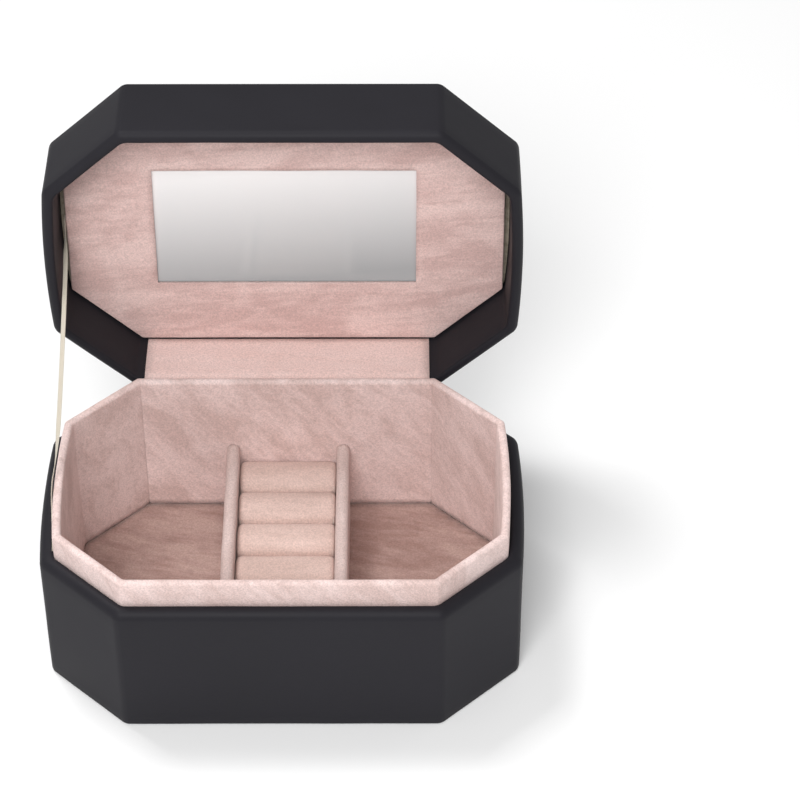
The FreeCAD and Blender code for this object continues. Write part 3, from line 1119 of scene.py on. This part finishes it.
@dataclass
class RingRolls(Assembly):
    """Six foam rolls wrapped in suede, that hold rings in the creases between them."""

    count: int = 6
    pitch: float = 17.2
    gap: float = 0.2
    half_length: float = 19.15
    top_z: float = 33.4
    dome_radius: float = 14.0
    shoulder_radius: float = 4.0
    waist: float = 0.4
    end_round: float = 1.4
    slack: float = 0.2
    swell_cap: float = 0.5
    voxel: float = 1.1
    enlarge: float = 10.0
    pressure: float = 4.0
    frames: int = 20
    bend_share: float = 0.99
    held_height: float = 3.0

    def build(self) -> None:
        """Model each roll a little slim, then let it swell as stuffed cloth."""
        rolls = [self._slim_roll(n) for n in range(self.count)]
        self._swell(rolls)
        for n, made in enumerate(rolls):
            made.data.shade_smooth()
            smooth = made.modifiers.new("rounding", "SUBSURF")
            smooth.levels = 1
            smooth.render_levels = 1
            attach(made, Body.BASE.value)
            dress(made, self.finishes.suede["roll_suede"], Slot.ROLL_SUEDE, f"ring_roll_{n + 1}")

    def _section(self, bm: BMesh, y: float, reach: float) -> None:
        """Draw a roll's section at its left end: straight sides, round shoulders and a dome.

        Args:
            bm: Mesh being built.
            y: Middle of the roll.
            reach: Half of the roll's length.
        """
        half = (self.pitch - self.gap) / 2 - self.slack
        top = self.top_z - self.slack
        lean = math.asin((half - self.shoulder_radius) / (self.dome_radius - self.shoulder_radius))
        peak = top + self.dome_radius * (1 / math.cos(lean) - 1)
        shoulder = peak - half * math.tan(lean)
        foot = half - self.waist
        left = [(y - foot, FLOOR_Z), (y - half, shoulder)]
        right = [(y + half, shoulder), (y + foot, FLOOR_Z)]
        side = self.shoulder_radius * math.tan((math.pi / 2 - lean) / 2)
        runs = [run * self.bend_share for run in (side, self.dome_radius * math.tan(lean), side)]
        draw_line(bm, -reach, [*left, (y, peak), *right], runs, 8)

    def _slim_roll(self, n: int) -> bpy.types.Object:
        """One roll, a little slimmer than its cover.

        Args:
            n: Which roll, from the back.

        Returns:
            The roll's object.
        """
        bm = bmesh.new()
        reach = self.half_length - self.slack
        self._section(bm, self.pitch * (self.count / 2 - 0.5 - n), reach)
        pull(bm, bm.edges[:], (2 * reach, 0, 0))
        feet = [e for e in bm.edges if e.is_boundary and e.calc_length() > reach]
        bmesh.ops.bridge_loops(bm, edges=feet)
        close(bm)
        rim = []
        for edge in bm.edges:
            a, b = (v.co for v in edge.verts)
            if abs(a.x - b.x) < 0.01 and max(a.z, b.z) > FLOOR_Z + 1:
                rim.append(edge)
        round_off(bm, rim, self.end_round, 4)
        bmesh.ops.recalc_face_normals(bm, faces=bm.faces[:])
        return piece(bm, f"ring_roll_{n + 1}_pad")

    def _swell(self, rolls: Sequence[bpy.types.Object]) -> None:
        """Blow the rolls up as cloth, with their feet held and their growth capped.

        Args:
            rolls: Rolls to swell, changed in place.
        """
        starts = [self._ready(made) for made in rolls]
        scene = bpy.context.scene
        for number in range(1, self.frames + 1):
            scene.frame_set(number)
        graph = bpy.context.evaluated_depsgraph_get()
        for made, start in zip(rolls, starts):
            swollen = bpy.data.meshes.new_from_object(made.evaluated_get(graph))
            made.modifiers.clear()
            made.vertex_groups.clear()
            for vert, (before, outward) in zip(swollen.vertices, start):
                growth = outward.dot(vert.co / self.enlarge - before)
                vert.co = before + outward * min(max(growth, 0.0), self.swell_cap * MM)
            made.data = swollen
        scene.frame_set(1)

    def _ready(self, made: bpy.types.Object) -> list[tuple[Vector, Vector]]:
        """Remesh a roll evenly, enlarge it for the simulation and add the cloth.

        Args:
            made: Roll to make ready.

        Returns:
            Its points before it swells, in metres, and the directions out of it.
        """
        remesh = made.modifiers.new("even", "REMESH")
        remesh.mode = "VOXEL"
        remesh.voxel_size = self.voxel * MM
        graph = bpy.context.evaluated_depsgraph_get()
        even = bpy.data.meshes.new_from_object(made.evaluated_get(graph))
        made.modifiers.clear()
        made.data = even
        start = [(v.co.copy(), v.normal.copy()) for v in even.vertices]
        foot = [v.index for v in even.vertices if v.co.z < (FLOOR_Z + self.held_height) * MM]
        even.transform(Matrix.Scale(self.enlarge, 4))
        held = made.vertex_groups.new(name="foot")
        held.add(foot, 1.0, "REPLACE")
        cloth = made.modifiers.new("cloth", "CLOTH").settings
        cloth.quality = 6
        cloth.tension_stiffness = 12.0
        cloth.compression_stiffness = 12.0
        cloth.bending_stiffness = 0.6
        cloth.use_pressure = True
        cloth.uniform_pressure_force = self.pressure
        cloth.effector_weights.gravity = 0.0
        cloth.vertex_group_mass = "foot"
        return start


@dataclass
class LidShell(Assembly):
    """Leather round the lid and the padded, stitched panel on its top."""

    corner: float = 4.4
    shoulder_z: float = 96.25
    lining_top: float = 91.45
    fold_reach: float = 8.5
    shoulder_round: float = 1.0
    rim_round: float = 2.7
    rim_inner_round: float = 1.1
    lining_inset: float = 4.4
    leather: float = 0.55
    panel_inset: float = 0.75
    panel_top: float = 97.25
    panel_round: float = 0.45
    crown_start: float = 6.4
    crown_end: float = 17.0
    crown_rise: float = 0.8
    stitch_inset: float = 5.0
    stitch_pitch: float = 4.3
    stitch_length: float = 2.9
    thread: float = 0.6
    groove: float = 0.28
    groove_width: float = 0.8
    thread_rise: float = 0.42
    stitch_lift: float = 0.08
    lie: Unevenness = Unevenness(5.0, 0.12, 24.0, 7.7)
    pad_lie: Unevenness = Unevenness(3.0, 0.08, 22.0, 0.0)
    loops: tuple[float, ...] = (3.4, 4.2, 4.6, 5.0, 5.4, 5.8, 6.6, 9.0)

    def build(self) -> None:
        """Make the wall leather, the top panel and its stitches."""
        self._wall()
        self._panel()
        self._stitches()

    def _wall(self) -> None:
        """Wrap the wall from the top's fold, down over the rim and up the inside."""
        bm = bmesh.new()
        courses = [
            Course(self.fold_reach, self.shoulder_z),
            Course(0.0, self.shoulder_z, self.shoulder_round, 4),
            Course(0.0, LID_Z, self.rim_round, 6),
            Course(self.lining_inset, LID_Z, self.rim_inner_round, 4),
            Course(self.lining_inset, self.lining_top),
        ]
        wrap(bm, courses, self.corner)
        soften(bm, (LID_Z + self.rim_round, self.shoulder_z - self.shoulder_round), self.lie)
        made = piece(bm, "lid_leather_wrap", shut=True, thick=self.leather)
        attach(made, Body.LID.value)
        dress(made, self.finishes.leather, Slot.LEATHER, "lid_wall_leather")

    def _crown(self, x: float, y: float) -> float:
        """Rise of the padded top, with the dip along the stitches.

        Args:
            x: Place across the case.
            y: Place along its depth.

        Returns:
            The rise above the panel's edge.
        """
        inset = PLAN.inset_at(x, y)
        t = min(1.0, max(0.0, (inset - self.crown_start) / (self.crown_end - self.crown_start)))
        dip = self.groove * math.exp(-(((inset - self.stitch_inset) / self.groove_width) ** 2))
        return self.crown_rise * (1 - (1 - t) ** 2) - dip

    def _panel(self) -> None:
        """Raise the padded panel and press the stitch line into it."""
        bm = bmesh.new()
        courses = [
            Course(self.panel_inset, self.shoulder_z),
            Course(self.panel_inset, self.panel_top, self.panel_round, 4),
        ]
        courses += [Course(inset, self.panel_top) for inset in self.loops]
        wrap(bm, courses, self.corner - self.panel_inset)
        close(bm, self.pad_lie.spacing)
        for vert in bm.verts:
            if vert.co.z > self.panel_top - 1e-3:
                wave = self.pad_lie.amount * noise.noise(vert.co / self.pad_lie.scale)
                vert.co.z += self._crown(vert.co.x, vert.co.y) + wave
        made = piece(bm, "lid_top_pad", shut=True)
        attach(made, Body.LID.value)
        dress(made, self.finishes.leather, Slot.LEATHER, "lid_top_leather")

    def _stitches(self) -> None:
        """Sew a row of short stitches round the panel, a little inside its edge."""
        bm = bmesh.new()
        half = (self.stitch_length / 2, self.thread / 2, self.thread * self.thread_rise)
        shape = Matrix.Diagonal((*half, 1.0))
        for side in range(8):
            ends = [PLAN.along(self.stitch_inset, side, share) for share in (0, 1)]
            count = round(math.dist(*ends) / self.stitch_pitch)
            for n in range(count):
                x0, y0 = PLAN.along(self.stitch_inset, side, n / count)
                x1, y1 = PLAN.along(self.stitch_inset, side, (n + 1) / count)
                x, y = PLAN.along(self.stitch_inset, side, (n + 0.5) / count)
                turn = Matrix.Rotation(math.atan2(y1 - y0, x1 - x0), 4, "Z")
                z = self.panel_top + self._crown(x, y) + self.stitch_lift
                place = Matrix.Translation((x, y, z)) @ turn @ shape
                bmesh.ops.create_uvsphere(bm, u_segments=8, v_segments=5, radius=1.0, matrix=place)
        made = piece(bm, "lid_top_stitches", shut=True)
        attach(made, Body.LID.value)
        dress(made, self.finishes.thread, Slot.LEATHER)


@dataclass
class MirrorPanel(Assembly):
    """Suede panel in the lid, with the window that the mirror shows through."""

    inset: float = 5.1
    face_z: float = 87.04
    back_z: float = 91.45
    edge_round: float = 0.6
    corner: float = 1.6
    window_width: float = 101.5
    window_height: float = 54.0
    window_y: float = 0.5
    reveal: float = 1.2
    first_fold: float = 0.25
    suede: float = 0.5
    lie: Unevenness = Unevenness(4.0, 0.10, 20.0, 9.4)

    def build(self) -> None:
        """Make the suede face with its window."""
        bm = bmesh.new()
        courses = [Course(self.inset, self.back_z), Course(self.inset, self.face_z)]
        face_edge = wrap(bm, courses, self.corner, bow=0.0)[1]
        bmesh.ops.holes_fill(bm, edges=face_edge, sides=0)
        round_off(bm, face_edge, self.edge_round, 4)
        half_w = self.window_width / 2
        low = self.window_y - self.window_height / 2
        high = self.window_y + self.window_height / 2
        for axis, at in ((Axis.X, -half_w), (Axis.X, half_w), (Axis.Y, low), (Axis.Y, high)):
            slice_evenly(bm, axis, 1.0, at - 1.0, at + 1.0)
        opening = []
        for f in bm.faces:
            c = f.calc_center_median()
            if abs(c.x) < half_w and low < c.y < high and c.z < self.face_z + 0.1:
                opening.append(f)
        bmesh.ops.delete(bm, geom=opening, context="FACES")
        hem = [e for e in bm.edges if e.is_boundary and e.verts[0].co.z < self.face_z + 0.1]
        for depth in (self.first_fold, self.reveal - self.first_fold):
            hem = pull(bm, hem, (0, 0, depth))
        soften(bm, (self.face_z + self.edge_round, self.back_z), self.lie)
        made = piece(bm, "mirror_panel_wrap", shut=True, thick=self.suede)
        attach(made, Body.LID.value)
        dress(made, self.finishes.suede["panel_suede"], Slot.SUEDE, "mirror_panel_suede")


@dataclass
class HingeStrips(Assembly):
    """Leather strip across the back and suede strip across the inside of the hinge."""

    half_length: float = 55.989
    leaf: float = 14.0
    leaf_y: float = 59.65
    leaf_thick: float = 0.7
    strip_y: float = 55.25
    strip_tail: float = 13.5
    strip_thick: float = 0.6
    strip_reach: float = 24.2
    lining_gap: float = 0.32
    lining_inset: float = 4.4
    lining_rise: float = 0.3
    bend_gap: float = 0.6
    bead: float = 0.1
    lining_bends: tuple[float, ...] = (2.0, 2.5)
    leather_bends: tuple[float, ...] = (0.4, 0.5, 0.4)
    spacing: float = 4.0
    lie: Unevenness = Unevenness(3.0, 0.06, 12.0, 9.0)

    def build(self) -> None:
        """Make both strips, shaped for the lid's rest pose."""
        self._suede()
        self._leather()

    def _strip(
        self, line: Sequence[Point], bends: Sequence[float], thick: float, name: str
    ) -> bpy.types.Object:
        """Strip along X from a line across the hinge, with rounded bends.

        Args:
            line: Points of its middle, as Y and Z.
            bends: Rounding at each inner point.
            thick: Thickness.
            name: Name of the piece.

        Returns:
            The strip's object.
        """
        bm = bmesh.new()
        draw_line(bm, -self.half_length, line, bends, 6)
        pull(bm, bm.edges[:], (2 * self.half_length, 0, 0))
        slice_evenly(bm, Axis.X, self.spacing, -self.half_length, self.half_length)
        slice_evenly(bm, Axis.Y, self.lie.spacing, line[0][0], line[-1][0])
        slice_evenly(bm, Axis.Z, self.lie.spacing, line[0][1], line[1][1])
        merge_close(bm, 0.03)
        bmesh.ops.recalc_face_normals(bm, faces=bm.faces[:])
        ruffle(bm, self.lie.amount, self.lie.scale, thick * self.lie.seed)
        return piece(bm, name, thick=thick, side=0.0)

    def _suede(self) -> None:
        """Line the gap from behind the liner, over the lid's rim and up to the panel."""
        lining_y = PLAN.depth / 2 - self.lining_inset
        tail = (self.strip_y, RIM_Z - self.strip_tail)
        rise = (self.strip_y, SWING.hinge_z + self.lining_rise)
        over = SWING.point(lining_y - self.lining_gap, LID_Z + self.bend_gap)
        end = SWING.point(lining_y - self.lining_gap, LID_Z + self.strip_reach)
        line = [tail, rise, over, end]
        made = self._strip(line, self.lining_bends, self.strip_thick, "hinge_lining_strip")
        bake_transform(made)
        dress(made, self.finishes.suede["strip_suede"], Slot.SUEDE, "hinge_suede")

    def _leather(self) -> None:
        """Join the backs of base and lid."""
        low = (self.leaf_y, SWING.hinge_z - self.leaf)
        bend = (self.leaf_y, SWING.hinge_z - self.bend_gap)
        roll = (SWING.hinge_y - self.bead, SWING.hinge_z + self.bead)
        back = SWING.point(self.leaf_y, SWING.hinge_z + self.bend_gap)
        end = SWING.point(self.leaf_y, SWING.hinge_z + self.leaf)
        line = [low, bend, roll, back, end]
        made = self._strip(line, self.leather_bends, self.leaf_thick, "hinge_back_strip")
        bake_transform(made)
        dress(made, self.finishes.leather, Slot.LEATHER, "hinge_leather")


@dataclass
class StayRibbon(Assembly):
    """Woven ribbon on the left that stops the lid, twisted along its free length."""

    width: float = 2.2
    thick: float = 0.4
    twist: float = 65.0
    picot: float = 0.16
    stitch: float = 0.8
    rows_per_stitch: int = 4
    rib: float = 0.05
    edge_half: float = 0.06
    shares: tuple[float, ...] = (-1.0, -0.72, -0.36, 0.0, 0.36, 0.72, 1.0)
    turn_lid: Point = (2.0, 16.0)
    turn_base: Point = (50.0, 26.0)
    route: tuple[tuple[float, float, float], ...] = (
        (-85.25, 91.85, 124.09),
        (-85.25, 89.73, 122.96),
        (-84.35, 75.60, 115.46),
        (-84.40, 49.99, 101.86),
        (-84.80, 19.08, 85.45),
        (-85.45, 4.06, 77.48),
        (-86.85, -4.24, 73.07),
        (-86.05, -16.00, 66.83),
        (-85.46, -25.00, 62.05),
        (-85.46, -28.89, 59.99),
    )

    def build(self) -> None:
        line = self._line()
        made = self._weave(line)
        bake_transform(made)
        dress(made, self.finishes.ribbon, Slot.RIBBON, "stay_ribbon")

    def _line(self) -> list[Vector]:
        """Smooth curve that the route's points control.

        Returns:
            Points along the curve.
        """
        curve = bpy.data.curves.new("ribbon_route", "CURVE")
        curve.dimensions = "3D"
        spline = curve.splines.new("NURBS")
        spline.points.add(len(self.route) - 1)
        for point, place in zip(spline.points, self.route):
            point.co = (*place, 1.0)
        spline.order_u = 3
        spline.use_endpoint_u = True
        spline.resolution_u = 48
        holder = bpy.data.objects.new("ribbon_route", curve)
        bpy.context.scene.collection.objects.link(holder)
        graph = bpy.context.evaluated_depsgraph_get()
        mesh = bpy.data.meshes.new_from_object(holder.evaluated_get(graph))
        points = [v.co.copy() for v in mesh.vertices]
        bpy.data.objects.remove(holder)
        bpy.data.curves.remove(curve)
        bpy.data.meshes.remove(mesh)
        return points

    def _turn(self, s: float, free: float) -> float:
        """Twist of the ribbon.

        Args:
            s: Distance from where it leaves the lid's panel.
            free: Its free length.

        Returns:
            The angle, in radians.
        """
        begin, full = self.turn_lid
        fall, flat = (free - end for end in self.turn_base)
        eased = smooth_step((s - begin) / (full - begin))
        return math.radians(self.twist) * eased * smooth_step((flat - s) / (flat - fall))

    def _weave(self, line: Sequence[Vector]) -> bpy.types.Object:
        """Sweep the ribbon's section along a line, with small loops at both edges.

        Args:
            line: Points along the ribbon.

        Returns:
            The ribbon's object, with a UV map across and along.
        """
        top = Vector(self.route[1])
        low = Vector(self.route[-2])
        free = (low - top).length
        along = (low - top).normalized()
        across = (Vector((1, 0, 0)) - along * along.x).normalized()
        beside = along.cross(across)
        count = int(free / self.stitch * self.rows_per_stitch)
        distances = [0.0]
        for a, b in zip(line, line[1:]):
            distances.append(distances[-1] + (b - a).length)
        total = distances[-1]
        tuck = (top - Vector(self.route[0])).length
        bm = bmesh.new()
        uv = bm.loops.layers.uv.new("weave")
        rows: list[list[BMVert]] = []
        at = 0
        for n in range(count + 1):
            s = total * n / count
            while at < len(line) - 2 and distances[at + 1] < s:
                at += 1
            t = (s - distances[at]) / max(1e-6, distances[at + 1] - distances[at])
            centre = line[at].lerp(line[at + 1], min(1.0, t))
            turn = self._turn(s - tuck, free)
            flat = beside * math.cos(turn) + across * math.sin(turn)
            thin = across * math.cos(turn) - beside * math.sin(turn)
            loop = self.picot * max(0.0, math.sin(2 * math.pi * s / self.stitch))
            rib = self.rib * math.sin(4 * math.pi * s / self.stitch)
            reach = self.width / 2 - self.picot
            row = []
            for side in (1, -1):
                for share in self.shares[::side]:
                    edge = abs(share) == 1.0
                    out = share * (reach + (loop if edge else 0.0))
                    lift = side * (self.edge_half if edge else self.thick / 2 - self.rib + rib)
                    row.append(bm.verts.new(centre + flat * out + thin * lift))
            rows.append(row)
        width = len(rows[0])
        for n, (a, b) in enumerate(zip(rows, rows[1:])):
            for k in range(width):
                j = (k + 1) % width
                face = bm.faces.new((a[k], a[j], b[j], b[k]))
                for corner, (u, v) in zip(face.loops, ((k, n), (k + 1, n), (k + 1, n + 1), (k, n + 1))):
                    corner[uv].uv = (u / width, v / count)
        bm.faces.new(rows[0][::-1])
        bm.faces.new(rows[-1])
        bmesh.ops.recalc_face_normals(bm, faces=bm.faces[:])
        return piece(bm, "woven_stay_ribbon")


@dataclass
class Core(Assembly):
    """Boards, cards, foams and the mirror, which keep their own solids."""

    def build(self) -> None:
        """Give every carried-over solid its finish by slot."""
        slots = {part["node"]: part["material_slot"] for part in frame["record"]["subparts"]}
        for name, node in frame["nodes"].items():
            if node.hide_render:
                continue
            plate = slots[name] == Slot.MIRROR.value
            material = self.finishes.mirror if plate else self.finishes.cores[slots[name]]
            node.data.materials.clear()
            node.data.materials.append(material)
            log.info("%s: %s", name, material.name)


@dataclass(frozen=True)
class Lamp:
    """Square soft light, in metres and watts."""

    name: str
    place: tuple[float, float, float]
    size: float
    power: float


@dataclass
class Studio:
    """White floor, soft light and the camera."""

    camera_place: tuple[float, float, float] = (42.92, -790.26, 876.19)
    pitch: float = 43.99
    yaw: float = 0.10
    focal_pixels: float = 2987.2
    frame_pixels: float = 800.0
    sensor: float = 36.0
    floor_half: float = 6.0
    floor_drop: float = 0.05
    floor_glow: float = 0.08
    surround: float = 0.38
    aim: tuple[float, float, float] = (0.0, 0.02, 0.06)
    lamps: tuple[Lamp, ...] = (
        Lamp("key_light", (-0.18, -1.10, 1.35), 0.8, 20.0),
        Lamp("back_light", (-0.45, 0.45, 1.50), 0.40, 10.0),
    )

    def build(self) -> None:
        """Set up floor, world, lamps and camera."""
        bpy.context.scene.view_settings.view_transform = "Standard"
        self._floor()
        self._world()
        for lamp in self.lamps:
            self._hang(lamp)
        self._camera()

    def _floor(self) -> None:
        """Pale floor that shows white but keeps the case's shadow."""
        bm = bmesh.new()
        bmesh.ops.create_grid(bm, x_segments=1, y_segments=1, size=self.floor_half / MM)
        bmesh.ops.translate(bm, vec=(0, 0, -self.floor_drop), verts=bm.verts[:])
        floor = piece(bm, "studio_floor")
        material, w, shader = blank_material("studio_white")
        seen = w.node("LightPath")
        plain = w.math("MAXIMUM", seen.outputs["Is Camera Ray"], seen.outputs["Is Glossy Ray"])
        plain = w.math("MAXIMUM", plain, seen.outputs["Is Transmission Ray"])
        inputs = {
            "Base Color": rgba((0.90, 0.90, 0.90)),
            "Emission Color": rgba((1.0, 1.0, 1.0)),
            "Emission Strength": w.math("MULTIPLY", plain, self.floor_glow),
            "Roughness": 1.0,
            "Specular IOR Level": 0.0,
        }
        w.fill(shader, inputs)
        floor.data.materials.append(material)

    def _world(self) -> None:
        """Even white surround, plain white where it is seen."""
        world = bpy.data.worlds.new("studio_world")
        bpy.context.scene.world = world
        world.use_nodes = True
        w = Wiring(world.node_tree)
        background = world.node_tree.nodes["Background"]
        seen = w.node("LightPath")
        plain = w.math("MAXIMUM", seen.outputs["Is Camera Ray"], seen.outputs["Is Transmission Ray"])
        background.inputs["Color"].default_value = rgba((1.0, 1.0, 1.0))
        w.put(background.inputs["Strength"], w.span(plain, 0.0, 1.0, self.surround, 1.0))

    def _hang(self, lamp: Lamp) -> None:
        """Hang a lamp, aimed at the case.

        Args:
            lamp: Lamp to hang.
        """
        data = bpy.data.lights.new(lamp.name, "AREA")
        data.size = lamp.size
        data.energy = lamp.power
        made = bpy.data.objects.new(lamp.name, data)
        made.location = lamp.place
        aim = Vector(self.aim) - Vector(lamp.place)
        made.rotation_euler = aim.to_track_quat("-Z", "Y").to_euler()
        bpy.context.scene.collection.objects.link(made)

    def _camera(self) -> None:
        """Camera at the photograph's viewing angle."""
        data = bpy.data.cameras.new("camera")
        data.sensor_width = self.sensor
        data.lens = self.focal_pixels / self.frame_pixels * self.sensor
        camera = bpy.data.objects.new("camera", data)
        camera.location = Vector(self.camera_place) * MM
        camera.rotation_euler = (math.radians(90 - self.pitch), 0.0, math.radians(-self.yaw))
        bpy.context.scene.collection.objects.link(camera)
        bpy.context.scene.camera = camera


def main() -> None:
    """Build the studio, then every sub-assembly of the case."""
    logging.basicConfig(level=logging.INFO, format="%(message)s")
    Studio().build()
    finishes = Finishes()
    linings = (BaseShell, Liner, Compartments, RingRolls)
    for kind in (StayRibbon, *linings, LidShell, MirrorPanel, HingeStrips, Core):
        kind(finishes).build()


if __name__ == "__main__":
    main()
